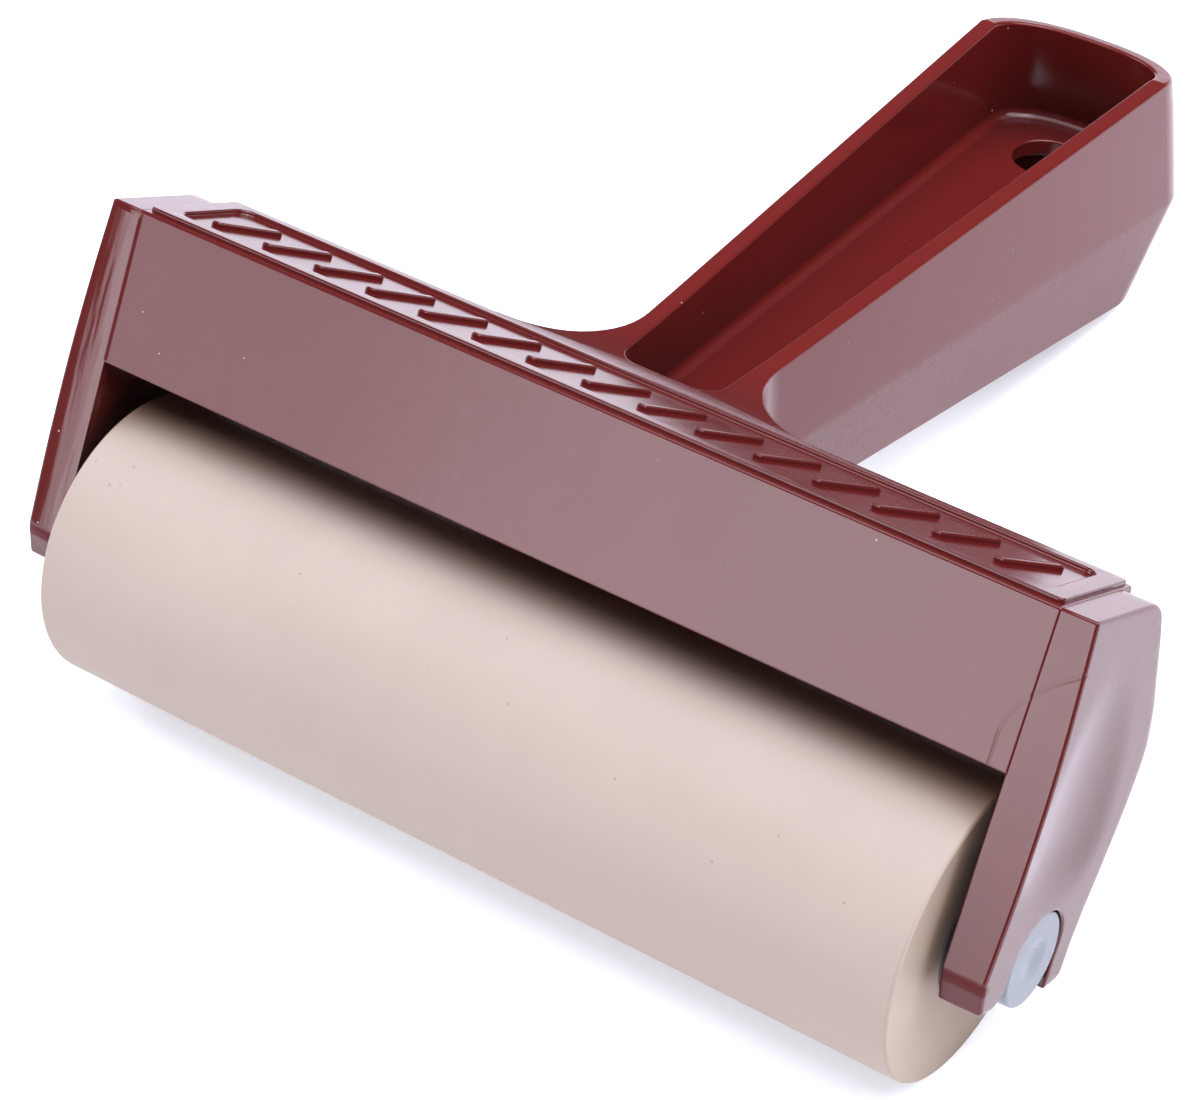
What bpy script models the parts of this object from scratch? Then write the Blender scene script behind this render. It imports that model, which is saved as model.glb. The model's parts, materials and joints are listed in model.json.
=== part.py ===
"""Rubber brayer: a moulded frame with a trough handle, and a pop-in rubber roller.

The frame is drawn in its own section first: X runs along the roller, Y runs back from the
crossbar's front face, and Z runs up from the crossbar's top. Everything hangs on one empty, which
is then tilted and lowered, so that the roller and the tip of the handle stand on Z = 0.
Lengths are in millimetres here and become metres when a mesh is made.
"""
import math

import bpy
import bmesh
from mathutils import Matrix, Vector

MM = 0.001

# Roller cartridge
ROLLER_LENGTH = 101.6
ROLLER_DIAMETER = 31.3
ROLLER_EDGE_ROUND = 0.4
CORE_DIAMETER = 12.7
CORE_WALL = 1.6
AXLE_DIAMETER = 5.0
AXLE_CHAMFER = 0.4
AXLE_Y = 10.9
AXLE_Z = -35.3
BUSH_DIAMETER = 9.9
BUSH_FLANGE_DIAMETER = 12.4
BUSH_FLANGE_THICKNESS = 1.2
BUSH_END_WALL = 1.4
BUSH_DIMPLE_RADIUS = 2.4
BUSH_DIMPLE_DEPTH = 0.35
BUSH_SET_BACK = 0.12
HUB_LENGTH = 10.0
HUB_FLANGE_THICKNESS = 1.0
BOND_GAP = 0.1
RUNNING_GAP = 0.05
END_GAP = 0.3

# Crossbar and arms
ARM_SPAN = 105.4
ARM_TOP_HALF_WIDTH = 56.6
ARM_SPLAY = 0.65
ARM_BOW = 0.6
ARM_LENGTH = 36.0
ARM_EDGE_ROUND = 0.4
ARM_REAR_ROUND = 3.6
ARM_HOOK_ROUND = 0.8
ARM_SLOT_ROUND = 0.3
CROSSBAR_HEIGHT = 16.3
CROSSBAR_TOP_DEPTH = 16.3
CROSSBAR_WALL = 2.2
PANEL_RAISE = 0.45
PANEL_FRONT = 1.1
PANEL_BACK = 15.9
PANEL_CORNER = 0.5
RECESS_DEPTH = 0.5
RECESS_MARGIN = 1.7
RECESS_HALF_LENGTH = 50.2
RECESS_CORNER = 1.6
RIB_COUNT = 15
RIB_ROW_HALF_LENGTH = 45.5
RIB_WIDTH = 1.1
RIB_HALF_LENGTH = 3.1
RIB_SLANT = 1.9
SLOT_GAP = 0.1
SCOOP_RADIUS = 42.0
SCOOP_HALF_WIDTH = 8.0
SCOOP_FORWARD = 2.4
SCOOP_DEEPEST_TOP = 57.2
SCOOP_DEEPEST_LOW = 56.8
SCOOP_LOW_Z = -23.0
SCOOP_RUN_OUT = 57.6
SCOOP_RUN_OUT_Z = -32.5

# Handle: d runs along it from its root, k runs down from its top plane
HANDLE_SLOPE = math.radians(24.2)
HANDLE_ROOT_Y = 17.1
HANDLE_LENGTH = 82.4
HANDLE_ROOT_HALF_WIDTH = 7.5
HANDLE_FLARE = 0.053
FILLET_ACROSS = 12.0
FILLET_ALONG = 10.3
FILLET_START = -0.8
HANDLE_WALL = 1.7
WALL_DRAFT = 0.6
CREASE_DEPTH = 9.4
CREASE_FALL = 0.09
SKIRT_DEPTH = 19.4
SKIRT_FALL = 0.127
SKIRT_TUCK = 2.1
FLOOR_DEPTH = 7.6
FLOOR_FALL = 0.066
FLOOR_THICKNESS = 2.0
TROUGH_DRAFT = 0.9
TROUGH_START = 0.6
TROUGH_END_DRAFT = 0.07
TROUGH_CORNER = 1.4
TROUGH_FLOOR_ROUND = 1.2
SKIRT_WALL = 1.3
SKIRT_WALL_AT_FLOOR = 2.2
SKIRT_CORNER = 1.2
END_BULGE = 8.3
END_SQUARENESS = 2.3
END_DRAFT = 0.22
END_TUCK = 4.6
RIM_TILT = 0.25
HANG_HOLE_DIAMETER = 8.5
HANG_HOLE_D = 80.3

ROUND_SEGMENTS = 96
SMOOTH_ANGLE = math.radians(32)

ROLLER_RADIUS = ROLLER_DIAMETER / 2
ARM_INNER = ARM_SPAN / 2
ROLLER_HALF = ROLLER_LENGTH / 2


# ---------------------------------------------------------------- scene and materials

def clear_scene():
    for item in list(bpy.data.objects):
        bpy.data.objects.remove(item, do_unlink=True)


def material(name, colour, roughness, metallic=0.0):
    mat = bpy.data.materials.new(name)
    mat.use_nodes = True
    shader = mat.node_tree.nodes["Principled BSDF"]
    shader.inputs["Base Color"].default_value = (*colour, 1.0)
    shader.inputs["Roughness"].default_value = roughness
    shader.inputs["Metallic"].default_value = metallic
    mat.diffuse_color = (*colour, 1.0)
    return mat


def add_object(name, bm, parent, mat=None, location=(0.0, 0.0, 0.0)):
    """Turn a bmesh in millimetres into an object in metres under the parent."""
    bmesh.ops.recalc_face_normals(bm, faces=bm.faces)
    bmesh.ops.scale(bm, vec=(MM, MM, MM), verts=bm.verts)
    mesh = bpy.data.meshes.new(name)
    bm.to_mesh(mesh)
    bm.free()
    mesh.shade_smooth()
    mesh.set_sharp_from_angle(angle=SMOOTH_ANGLE)
    obj = bpy.data.objects.new(name, mesh)
    bpy.context.collection.objects.link(obj)
    obj.parent = parent
    obj.location = Vector(location) * MM
    if mat is None:
        obj.hide_render = True
        obj.display_type = "WIRE"
    else:
        mesh.materials.append(mat)
    return obj


def boolean(target, operation, tool):
    mod = target.modifiers.new(f"{operation.lower()}_{tool.name}", "BOOLEAN")
    mod.operation = operation
    mod.solver = "EXACT"
    mod.object = tool


# ---------------------------------------------------------------- mesh builders

def loft(rings):
    """Skin closed rings of equal point count, and cap both ends."""
    bm = bmesh.new()
    loops = [[bm.verts.new(point) for point in ring] for ring in rings]
    for lower, upper in zip(loops, loops[1:]):
        for i in range(len(lower)):
            j = (i + 1) % len(lower)
            bm.faces.new((lower[i], lower[j], upper[j], upper[i]))
    bm.faces.new(loops[0])
    bm.faces.new(loops[-1])
    return bm


def prism(section, x_low, x_high):
    """Extrude a (y, z) section along X."""
    return loft([[(x, y, z) for y, z in section] for x in (x_low, x_high)])


def turned(profile, closed, segments=ROUND_SEGMENTS):
    """Turn (x, radius) points about the X axis; a closed profile makes a ring."""
    bm = bmesh.new()
    rows = []
    for x, radius in profile:
        if radius == 0.0:
            rows.append([bm.verts.new((x, 0.0, 0.0))] * segments)
            continue
        angles = [2 * math.pi * i / segments for i in range(segments)]
        rows.append([bm.verts.new((x, radius * math.cos(a), radius * math.sin(a))) for a in angles])
    pairs = list(zip(rows, rows[1:]))
    if closed:
        pairs.append((rows[-1], rows[0]))
    for first, second in pairs:
        for i in range(segments):
            j = (i + 1) % segments
            corners = [first[i], first[j], second[j], second[i]]
            bm.faces.new(list(dict.fromkeys(corners)))
    return bm


def arc(centre, radius, start, stop, steps):
    """Points on a circle between two angles in degrees, both ends included."""
    angles = [math.radians(start + (stop - start) * i / steps) for i in range(steps + 1)]
    return [(centre[0] + radius * math.cos(a), centre[1] + radius * math.sin(a)) for a in angles]


def inset_outline(points, distances):
    """Move each edge of a closed outline inward by its own distance.

    The outline runs clockwise, so that inward is to the right of each edge. Edges that are nearly
    in line share one shift, and at a real corner the two shifted edges are intersected.
    """
    count = len(points)
    moved = []
    for i in range(count):
        before = Vector(points[i]) - Vector(points[i - 1])
        after = Vector(points[(i + 1) % count]) - Vector(points[i])
        before.normalize()
        after.normalize()
        n_before = Vector((before.y, -before.x))
        n_after = Vector((after.y, -after.x))
        d_before = distances[i - 1]
        d_after = distances[i]
        turn = before.x * after.y - before.y * after.x
        if abs(turn) < 0.45:
            normal = (n_before + n_after).normalized()
            shift = normal * (d_before + d_after) / 2
        else:
            scale = 1.0 / (n_before.x * n_after.y - n_before.y * n_after.x)
            shift = Vector((
                (d_before * n_after.y - d_after * n_before.y) * scale,
                (d_after * n_before.x - d_before * n_after.x) * scale,
            ))
        moved.append((points[i][0] + shift.x, points[i][1] + shift.y))
    return moved


# ---------------------------------------------------------------- arms and crossbar

def crossbar_back(z):
    """Y of the crossbar's back face, which stands square to the handle."""
    return CROSSBAR_TOP_DEPTH - z * math.tan(HANDLE_SLOPE)


def arm_face_x(z):
    """Half width over the arms' outer faces: bowed out a little below the middle."""
    t = min(1.0, max(0.0, -z / ARM_LENGTH))
    return ARM_TOP_HALF_WIDTH + ARM_SPLAY * t + ARM_BOW * math.sin(math.pi * t)


def arm_outline():
    """The arm's side outline, clockwise seen along +X, and each edge's outer round."""
    slot = BUSH_DIAMETER / 2 + SLOT_GAP
    pieces = [
        ([(0.0, 0.0)], ARM_EDGE_ROUND),
        ([(16.6, 0.0)], ARM_REAR_ROUND),
        ([(20.0, -4.4)], ARM_REAR_ROUND),
        (arc((17.8, -14.6), 6.6, 50, -14, 6), ARM_REAR_ROUND),
        ([(22.5, -24.0)], 3.0),
        ([(21.2, -31.0)], 2.2),
        ([(20.2, -36.0)], 1.5),
        (arc((18.1, -37.5), 2.2, 5, -90, 4), ARM_HOOK_ROUND),
        ([(AXLE_Y + slot + 0.5, -39.6)], ARM_SLOT_ROUND),
        ([(AXLE_Y + slot, -39.1)], ARM_SLOT_ROUND),
        (arc((AXLE_Y, AXLE_Z), slot, 0, 180, 16), ARM_SLOT_ROUND),
        ([(AXLE_Y - slot, -37.4)], ARM_SLOT_ROUND),
        (arc((AXLE_Y - slot - 1.7, -37.4), 1.7, -12, -70, 3), ARM_EDGE_ROUND),
        ([(1.5, -39.1)], ARM_EDGE_ROUND),
        ([(0.0, -35.9)], ARM_EDGE_ROUND),
    ]
    points = []
    rounds = []
    for group, radius in pieces:
        points += group
        rounds += [radius] * len(group)
    return points, rounds


def arm(name, side, parent):
    points, rounds = arm_outline()
    steps = 5
    rings = [[(side * ARM_INNER, y, z) for y, z in points]]
    for step in range(steps + 1):
        angle = math.pi / 2 * step / steps
        outline = inset_outline(points, [r * (1 - math.cos(angle)) for r in rounds])
        ring = []
        for (y, z), (_, z_face), radius in zip(outline, points, rounds):
            x = arm_face_x(z_face) - radius * (1 - math.sin(angle))
            ring.append((side * x, y, z))
        rings.append(ring)
    return add_object(name, loft(rings), parent)


def scoop(name, side, parent):
    """Cutter for the shallow hollow in the arm's outer face, which runs out above the bush."""
    half = SCOOP_HALF_WIDTH
    middle = AXLE_Y - SCOOP_FORWARD
    steps = 16
    rings = []
    stations = (
        (4.0, SCOOP_DEEPEST_TOP),
        (SCOOP_LOW_Z, SCOOP_DEEPEST_LOW),
        (SCOOP_RUN_OUT_Z, SCOOP_RUN_OUT),
    )
    for z, deepest in stations:
        ring = []
        for i in range(steps + 1):
            y = half * (2 * i / steps - 1)
            x = deepest + SCOOP_RADIUS - math.sqrt(SCOOP_RADIUS ** 2 - y * y)
            ring.append((side * x, y + middle, z))
        outside = side * (deepest + 6.0)
        ring.append((outside, middle + half, z))
        ring.append((outside, middle - half, z))
        rings.append(ring)
    return add_object(name, loft(rings), parent)


def crossbar_section(inset=0.0, drop=0.0):
    """The crossbar's outline, or a hollow inside it that is open at the bottom."""
    slant = inset / math.cos(HANDLE_SLOPE)
    top = -inset
    bottom = -CROSSBAR_HEIGHT - drop
    return [
        (inset, bottom),
        (inset, top),
        (crossbar_back(top) - slant, top),
        (crossbar_back(bottom) - slant, bottom),
    ]


def rounded_rectangle(x_half, y_low, y_high, radius):
    corners = (
        ((x_half - radius, y_high - radius), 0),
        ((-x_half + radius, y_high - radius), 90),
        ((-x_half + radius, y_low + radius), 180),
        ((x_half - radius, y_low + radius), 270),
    )
    return [p for centre, start in corners for p in arc(centre, radius, start, start + 90, 4)]


def slab(outline, z_low, z_high):
    return loft([[(x, y, z) for x, y in outline] for z in (z_low, z_high)])


def recess_ribs(z_low, z_high):
    """Evenly spaced slanted ribs that stand in the recess of the top panel."""
    bm = bmesh.new()
    pitch = 2 * RIB_ROW_HALF_LENGTH / (RIB_COUNT - 1)
    half = RIB_WIDTH / 2
    y = (PANEL_FRONT + PANEL_BACK) / 2
    for index in range(RIB_COUNT):
        x = pitch * index - RIB_ROW_HALF_LENGTH
        corners = [
            (x - RIB_SLANT - half, y - RIB_HALF_LENGTH),
            (x - RIB_SLANT + half, y - RIB_HALF_LENGTH),
            (x + RIB_SLANT + half, y + RIB_HALF_LENGTH),
            (x + RIB_SLANT - half, y + RIB_HALF_LENGTH),
        ]
        low = [bm.verts.new((px, py, z_low)) for px, py in corners]
        high = [bm.verts.new((px, py, z_high)) for px, py in corners]
        bm.faces.new(low)
        bm.faces.new(high)
        for i in range(4):
            j = (i + 1) % 4
            bm.faces.new((low[i], low[j], high[j], high[i]))
    return bm


# ---------------------------------------------------------------- handle

def handle_point(x, d, k):
    """From handle coordinates to the frame's own section."""
    y = HANDLE_ROOT_Y + d * math.cos(HANDLE_SLOPE) + k * math.sin(HANDLE_SLOPE)
    z = d * math.sin(HANDLE_SLOPE) - k * math.cos(HANDLE_SLOPE)
    return (x, y, z)


def crease_k(d):
    return CREASE_DEPTH + CREASE_FALL * d


def skirt_k(d):
    return SKIRT_DEPTH + SKIRT_FALL * d


def floor_k(d):
    return FLOOR_DEPTH + FLOOR_FALL * d


def half_width(d, k):
    """Outer half width: wider down to the crease, then tucked in towards the skirt's edge."""
    top = HANDLE_ROOT_HALF_WIDTH + HANDLE_FLARE * d
    if k <= crease_k(d):
        return top + WALL_DRAFT * k / crease_k(d)
    t = (k - crease_k(d)) / (skirt_k(d) - crease_k(d))
    return top + WALL_DRAFT - SKIRT_TUCK * t


def end_shift(k):
    """How far the end stands out at depth k: out by its draft, then tucked in below the crease."""
    crease = crease_k(HANDLE_LENGTH)
    if k <= crease:
        return END_DRAFT * k
    skirt = skirt_k(HANDLE_LENGTH)
    return END_DRAFT * crease - END_TUCK * (k - crease) / (skirt - crease)


def side_outline(k_of, wall, root_d, pocket_round, shift_of):
    """The right side's (x, d) points at one depth, from the root to the start of the end.

    Without a pocket_round the side flares out into the crossbar. With one it is the wall of a
    pocket, and it starts with the rounded corner of the pocket's front wall.
    """
    across = -pocket_round if pocket_round else FILLET_ACROSS
    along = pocket_round if pocket_round else FILLET_ALONG
    steps = 4 if pocket_round else 8
    side = []
    for i in range(steps + 1):
        a = math.pi / 2 * i / steps
        d = root_d + along * (1 - math.cos(a))
        side.append((half_width(d, k_of(d)) - wall + across * (1 - math.sin(a)), d))
    start = root_d + along
    stop = HANDLE_LENGTH + shift_of(k_of(HANDLE_LENGTH))
    for i in range(1, 4):
        d = start + (stop - start) * i / 4
        side.append((half_width(d, k_of(d)) - wall, d))
    return side, stop


def plan_outline(k_of, wall, root_d, pocket_round, shift_of):
    """Plan of the handle at one depth: right side, rounded end, left side.

    k_of(d) is the depth, wall the inset from the outer face, and shift_of(k) how far the end
    stands out.
    """
    side, start = side_outline(k_of, wall, root_d, pocket_round, shift_of)
    half = half_width(start, k_of(start)) - wall
    bulge = END_BULGE - wall
    power = 2.0 / END_SQUARENESS
    steps = 10
    for i in range(steps + 1):
        a = math.pi / 2 * i / steps
        side.append((half * math.cos(a) ** power, start + bulge * math.sin(a) ** power))
    side[-1] = (0.0, start + bulge)
    left = [(-x, d) for x, d in reversed(side[:-1])]
    return side + left


def handle_ring(k_of, wall, root_d, pocket_round=0.0, shift_of=end_shift, rim=False):
    """A plan outline put at its depth; the end wall's rim falls away towards the tip."""
    ring = []
    for x, d in plan_outline(k_of, wall, root_d, pocket_round, shift_of):
        k = k_of(d)
        if rim:
            k += RIM_TILT * max(0.0, d - HANDLE_LENGTH)
        ring.append(handle_point(x, d, k))
    return ring


def handle_body(name, parent):
    rings = [
        handle_ring(lambda d: 0.0, 0.0, FILLET_START, rim=True),
        handle_ring(lambda d: crease_k(d) * 0.5, 0.0, FILLET_START),
        handle_ring(crease_k, 0.0, FILLET_START),
        handle_ring(skirt_k, 0.0, FILLET_START),
    ]
    return add_object(name, loft(rings), parent)


def trough_cutter(name, parent):
    """The pocket in the handle's top, with a round between its walls and its floor."""
    clear_above = 4.0
    steps = 3
    levels = [(lambda d: -clear_above, HANDLE_WALL)]
    for i in range(steps + 1):
        a = math.pi / 2 * i / steps
        rise = TROUGH_FLOOR_ROUND * (1 - math.sin(a))
        inset = HANDLE_WALL + TROUGH_DRAFT + TROUGH_FLOOR_ROUND * (1 - math.cos(a))
        levels.append((lambda d, rise=rise: floor_k(d) - rise, inset))
    rings = [
        handle_ring(k_of, wall, TROUGH_START, TROUGH_CORNER, lambda k: TROUGH_END_DRAFT * k)
        for k_of, wall in levels]
    return add_object(name, loft(rings), parent)


def underside_cutter(name, parent):
    """The hollow under the handle's floor, open at the bottom."""
    clear_below = 3.0
    mouth = (lambda d: skirt_k(d) + clear_below, SKIRT_WALL)
    ceiling = (lambda d: floor_k(d) + FLOOR_THICKNESS, SKIRT_WALL_AT_FLOOR)
    rings = [
        handle_ring(k_of, wall, CROSSBAR_WALL, SKIRT_CORNER) for k_of, wall in (mouth, ceiling)]
    return add_object(name, loft(rings), parent)


def hang_hole(name, parent):
    """Cutter for the round hole in the trough's floor, square to the floor."""
    radius = HANG_HOLE_DIAMETER / 2
    rings = []
    for step in (-5.0, 5.0):
        k = floor_k(HANG_HOLE_D) + step
        d = HANG_HOLE_D + FLOOR_FALL * -step
        rings.append([handle_point(x, d + y, k) for x, y in arc((0.0, 0.0), radius, 0, 350, 35)])
    return add_object(name, loft(rings), parent)


# ---------------------------------------------------------------- the frame moulding

def build_frame(parent, mat):
    outer = prism(crossbar_section(), -ARM_INNER - 0.3, ARM_INNER + 0.3)
    frame = add_object("frame", outer, parent, mat)

    panel = rounded_rectangle(ARM_INNER - 0.2, PANEL_FRONT, PANEL_BACK, PANEL_CORNER)
    recess = rounded_rectangle(
        RECESS_HALF_LENGTH, PANEL_FRONT + RECESS_MARGIN, PANEL_BACK - RECESS_MARGIN, RECESS_CORNER)
    recess_floor = PANEL_RAISE - RECESS_DEPTH
    hollow_half = ARM_INNER - CROSSBAR_WALL
    added = [
        arm("arm_right_guide", 1, parent),
        arm("arm_left_guide", -1, parent),
        handle_body("handle_guide", parent),
        add_object("panel_guide", slab(panel, -0.6, PANEL_RAISE), parent),
    ]
    removed = [
        scoop("scoop_right_cutter", 1, parent),
        scoop("scoop_left_cutter", -1, parent),
        trough_cutter("trough_cutter", parent),
        underside_cutter("underside_cutter", parent),
        hang_hole("hang_hole_cutter", parent),
        add_object("recess_cutter", slab(recess, recess_floor, PANEL_RAISE + 2.0), parent),
        add_object("crossbar_cutter", prism(
            crossbar_section(CROSSBAR_WALL, 2.0), -hollow_half, hollow_half), parent),
    ]
    ribs = add_object("ribs_guide", recess_ribs(recess_floor - 0.3, PANEL_RAISE - 0.05), parent)
    for tool in added:
        boolean(frame, "UNION", tool)
    for tool in removed:
        boolean(frame, "DIFFERENCE", tool)
    boolean(frame, "UNION", ribs)
    return frame


# ---------------------------------------------------------------- the roller cartridge

def on_axle(name, bm, parent, mat):
    """Place a turned piece with its own origin on the axle's line."""
    return add_object(name, bm, parent, mat, location=(0.0, AXLE_Y, AXLE_Z))


def build_sleeve(parent, mat):
    inner = CORE_DIAMETER / 2 + BOND_GAP
    edge = ROLLER_EDGE_ROUND
    ends = arc((ROLLER_HALF - edge, ROLLER_RADIUS - edge), edge, 0, 90, 3)
    right = [(ROLLER_HALF, inner)] + ends
    left = [(-x, radius) for x, radius in reversed(right)]
    return on_axle("rubber_sleeve", turned(right + left, True), parent, mat)


def build_core(parent, mat):
    half = ROLLER_HALF - HUB_FLANGE_THICKNESS - END_GAP
    outer = CORE_DIAMETER / 2
    inner = outer - CORE_WALL
    profile = [(half, inner), (half, outer), (-half, outer), (-half, inner)]
    return on_axle("core_tube", turned(profile, True), parent, mat)


def build_hub(name, side, parent, mat):
    bore = AXLE_DIAMETER / 2 + RUNNING_GAP
    barrel = CORE_DIAMETER / 2 - CORE_WALL - BOND_GAP
    flange = CORE_DIAMETER / 2 - BOND_GAP
    face = ROLLER_HALF
    shoulder = ROLLER_HALF - HUB_FLANGE_THICKNESS
    inner_end = ROLLER_HALF - HUB_LENGTH
    profile = [
        (face, bore), (face, flange), (shoulder, flange),
        (shoulder, barrel), (inner_end, barrel), (inner_end, bore),
    ]
    return on_axle(name, turned([(side * x, r) for x, r in profile], True), parent, mat)


def build_axle(parent, mat):
    half = bush_face() - BUSH_END_WALL - END_GAP
    radius = AXLE_DIAMETER / 2
    right = [(half, 0.0), (half, radius - AXLE_CHAMFER), (half - AXLE_CHAMFER, radius)]
    left = [(-x, r) for x, r in reversed(right)]
    return on_axle("axle_rod", turned(right + left, False), parent, mat)


def bush_face():
    return arm_face_x(AXLE_Z) - BUSH_SET_BACK


def build_bush(name, side, parent, mat):
    """A closed-end bush: flange inside the arm, journal in the slot, shallow dimple outside."""
    bore = AXLE_DIAMETER / 2 + RUNNING_GAP
    journal = BUSH_DIAMETER / 2
    flange = BUSH_FLANGE_DIAMETER / 2
    flange_out = ARM_INNER - END_GAP
    flange_in = flange_out - BUSH_FLANGE_THICKNESS
    face = bush_face()
    bottom = face - BUSH_END_WALL
    dimple = [
        (face - BUSH_DIMPLE_DEPTH, 0.0),
        (face - 0.7 * BUSH_DIMPLE_DEPTH, BUSH_DIMPLE_RADIUS / 2),
        (face, BUSH_DIMPLE_RADIUS),
    ]
    rounded_edge = [(face, journal - 0.7), (face - 0.2, journal - 0.2), (face - 0.6, journal)]
    profile = dimple + rounded_edge + [
        (flange_out, journal), (flange_out, flange), (flange_in, flange), (flange_in, bore),
        (bottom, bore), (bottom, 0.0),
    ]
    return on_axle(name, turned([(side * x, r) for x, r in profile], False), parent, mat)


# ---------------------------------------------------------------- standing on its own

def rest_tilt():
    """Angle at which the roller and the end of the skirt touch one plane."""
    tip = handle_point(0.0, tip_d(), skirt_k(tip_d()))
    back = tip[1] - AXLE_Y
    up = tip[2] - AXLE_Z
    return math.atan2(up, back) + math.asin(ROLLER_RADIUS / math.hypot(back, up))


def tip_d():
    return HANDLE_LENGTH + end_shift(skirt_k(HANDLE_LENGTH)) + END_BULGE


def stand_up(root, pieces):
    """Tilt the whole, then bring the middle of its plan to the origin and its base to Z = 0."""
    root.rotation_euler = (-rest_tilt(), 0.0, 0.0)
    bpy.context.view_layer.update()
    depsgraph = bpy.context.evaluated_depsgraph_get()
    points = []
    for piece in pieces:
        shown = piece.evaluated_get(depsgraph)
        points += [shown.matrix_world @ vertex.co for vertex in shown.data.vertices]
    low = [min(p[axis] for p in points) for axis in range(3)]
    high = [max(p[axis] for p in points) for axis in range(3)]
    root.location = (-(low[0] + high[0]) / 2, -(low[1] + high[1]) / 2, -low[2])


def main():
    clear_scene()
    root = bpy.data.objects.new("brayer", None)
    bpy.context.collection.objects.link(root)

    burgundy = material("burgundy_plastic", (0.19, 0.015, 0.018), 0.22)
    rubber = material("tan_rubber", (0.63, 0.47, 0.36), 0.62)
    nylon = material("white_nylon", (0.82, 0.85, 0.90), 0.30)
    tube = material("core_plastic", (0.75, 0.73, 0.68), 0.45)
    steel = material("axle_steel", (0.62, 0.62, 0.60), 0.28, 1.0)

    pieces = [
        build_frame(root, burgundy),
        build_sleeve(root, rubber),
        build_core(root, tube),
        build_hub("hub_plug_left", -1, root, nylon),
        build_hub("hub_plug_right", 1, root, nylon),
        build_axle(root, steel),
        build_bush("end_bush_left", -1, root, nylon),
        build_bush("end_bush_right", 1, root, nylon),
    ]
    stand_up(root, pieces)


main()
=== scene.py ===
"""Looks of the rubber brayer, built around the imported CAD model.

The frame moulding, the rubber sleeve and the end bushes get finer pieces with real rounds; the
hidden pieces keep their CAD shape. Shapes are drawn in the frame's own section, in millimetres:
X along the roller, Y back from the crossbar's front face, Z up from the crossbar's top.
"""

import json
import math

import bmesh
import bpy
from mathutils import Matrix, Vector


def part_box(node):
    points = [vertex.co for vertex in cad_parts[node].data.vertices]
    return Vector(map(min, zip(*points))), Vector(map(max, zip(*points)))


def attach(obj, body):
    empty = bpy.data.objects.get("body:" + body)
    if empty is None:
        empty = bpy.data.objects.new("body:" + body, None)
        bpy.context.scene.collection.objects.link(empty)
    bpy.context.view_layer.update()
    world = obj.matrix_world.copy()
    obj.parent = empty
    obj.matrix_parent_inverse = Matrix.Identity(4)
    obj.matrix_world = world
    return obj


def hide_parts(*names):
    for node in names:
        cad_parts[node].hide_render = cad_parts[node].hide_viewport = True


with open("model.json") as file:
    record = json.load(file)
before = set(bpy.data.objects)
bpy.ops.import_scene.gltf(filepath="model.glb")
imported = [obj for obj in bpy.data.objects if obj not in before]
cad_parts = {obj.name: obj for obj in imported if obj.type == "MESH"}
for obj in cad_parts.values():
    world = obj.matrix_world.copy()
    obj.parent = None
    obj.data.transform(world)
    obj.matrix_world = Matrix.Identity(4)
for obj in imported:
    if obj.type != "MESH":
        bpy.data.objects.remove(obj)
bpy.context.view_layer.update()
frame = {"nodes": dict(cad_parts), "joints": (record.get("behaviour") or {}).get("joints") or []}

MM = 0.001
WELD = 0.001    # millimetres; slivers shorter than this are closed up
SHARP_ANGLE = math.radians(40)

# Roller, axle and bushes; the shapes' sizes are in millimetres
ROLLER_LENGTH = 101.6
ROLLER_DIAMETER = 31.3
ROLLER_EDGE_ROUND = 0.4
ROLLER_SEGMENTS = 240
CORE_DIAMETER = 12.7
BOND_GAP = 0.1
AXLE_DIAMETER = 5.0
AXLE_Y = 10.9
AXLE_Z = -35.3
RUNNING_GAP = 0.05
BUSH_DIAMETER = 9.9
BUSH_FLANGE_DIAMETER = 12.4
BUSH_FLANGE_THICKNESS = 1.2
BUSH_FLANGE_GAP = 0.3
BUSH_END_WALL = 1.4
BUSH_EDGE_ROUND = 0.25
BUSH_SET_BACK = 0.12
BUSH_DIMPLE_RADIUS = 2.7
BUSH_DIMPLE_DEPTH = 0.35
BUSH_SEGMENTS = 96

# Arms
ARM_INNER = 52.7
ARM_TOP_HALF_WIDTH = 56.6
ARM_SPLAY = 0.65
ARM_BOW = 0.6
ARM_LENGTH = 36.0
ARM_FRONT_TURN = math.radians(2.2)
ARM_FRONT_DEPTH = 3.0
ARM_INNER_ROUND = 0.25
ARM_FACE_GRID = 1.2
SLOT_GAP = 0.1

# The hollow in an arm's outer face
SCOOP_TOP_X = 57.2
SCOOP_LOW_X = 56.45
SCOOP_TOP_Z = 4.0
SCOOP_RUN = 50.0
SCOOP_RADIUS = 42.0
SCOOP_FORWARD = 2.4
SCOOP_END_Z = -32.0
SCOOP_FADE = 9.0
SCOOP_RUN_OUT = 0.3
SCOOP_SOFTNESS = 0.12

# Crossbar, with the raised panel, the bed sunk in it and the row of ribs
CROSSBAR_HEIGHT = 16.3
CROSSBAR_TOP_DEPTH = 16.3
CROSSBAR_WALL = 2.2
CROSSBAR_END_ROUND = 0.3
KNIT_LINE_X = 50.9
PANEL_RAISE = 0.45
PANEL_FRONT = 1.1
PANEL_BACK = 15.9
PANEL_CORNER = 0.6
PANEL_EDGE_ROUND = 0.16
RECESS_DEPTH = 0.5
RECESS_MARGIN = 1.7
RECESS_HALF_LENGTH = 50.2
RECESS_CORNER = 1.5
RECESS_EDGE_ROUND = 0.23
RIB_COUNT = 15
RIB_ROW_HALF_LENGTH = 45.5
RIB_WIDTH = 1.1
RIB_HALF_LENGTH = 3.1
RIB_SLANT = 1.9
RIB_CORNER = 0.25
RIB_EDGE_ROUND = 0.22

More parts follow.
